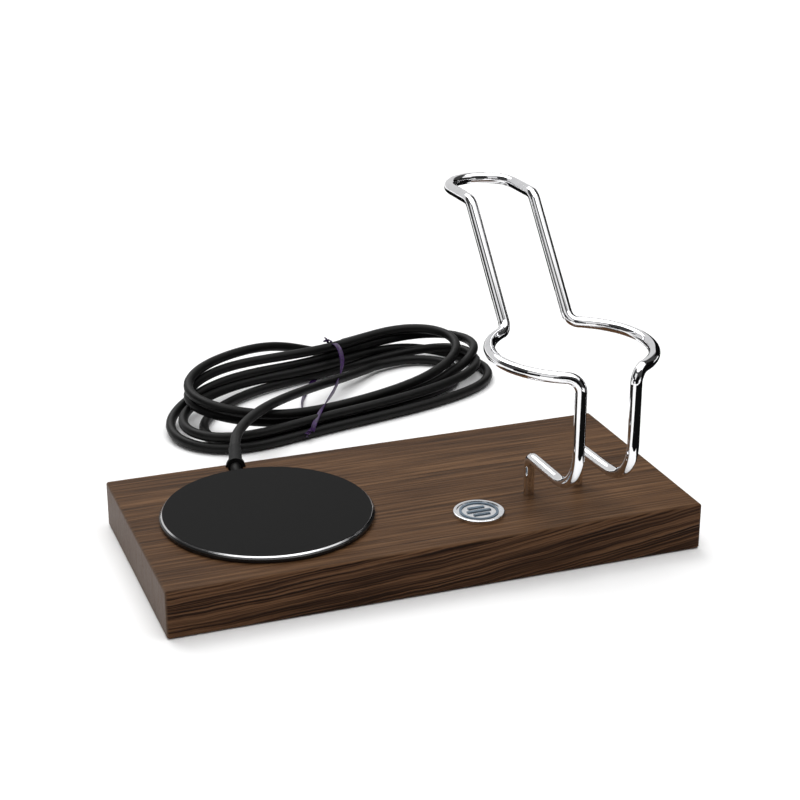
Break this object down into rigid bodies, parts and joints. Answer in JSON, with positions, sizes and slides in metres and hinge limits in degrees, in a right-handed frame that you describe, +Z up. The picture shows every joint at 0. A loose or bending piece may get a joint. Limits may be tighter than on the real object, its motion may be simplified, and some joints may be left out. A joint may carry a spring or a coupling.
{
  "type": "tool stand",
  "caption": "Bench stand for a hand-held tool: dark wooden board, round rest plate, bent chromed wire cradle and a low-voltage lead tied in a hank.",
  "frame": {"origin": "centre of the board's underside, on the bench", "axes": "+X along the board towards the wire cradle, +Y to the back, +Z up"},
  "size_m": [0.2466, 0.3102, 0.1434],
  "materials": {
    "wood": "dark open-grained wood, semi-gloss oil on top",
    "plate_metal": "turned, rim chamfer polished bright",
    "black_facing": "fine matte black coating",
    "gasket": "matte",
    "heater_film": "amber film",
    "fibre": "pressed fibre",
    "steel": "zinc-bright",
    "brass": "plain",
    "block_plastic": "natural nylon",
    "badge_metal": "brushed and polished",
    "inlay_enamel": "grey-blue enamel",
    "chrome": "mirror-bright plating",
    "sleeve_rubber": "matte moulded",
    "lead_jacket": "soft PVC, low sheen",
    "tie": "purple ribbed tie with wire cores"
  },
  "bodies": {
    "stand": {"base_board": "wood", "rest_plate": "plate_metal", "plate_facing": "black_facing", "plate_gasket": "gasket", "film_heater": "heater_film", "insulator": "fibre", "thermal_cutout": "steel", "plate_screws": "steel", "terminal_block": "block_plastic", "terminal_screws": "brass", "cord_clamp": "block_plastic", "clamp_screws": "steel", "badge_disc": "badge_metal", "badge_inlay": "inlay_enamel", "cord_sleeve": "sleeve_rubber", "inner_lead": "lead_jacket", "lead_tube": "lead_jacket", "lead_hank": "lead_jacket", "twist_tie": "tie", "lead_plug": "sleeve_rubber", "plug_barrel": "steel"},
    "cradle": {"wire_cradle": "chrome"}
  },
  "joints": [
    {"name": "cradle_lift", "type": "slide", "parent": "stand", "child": "cradle", "axis": [0, 0, 1], "range_m": [0, 0.014]}
  ]
}
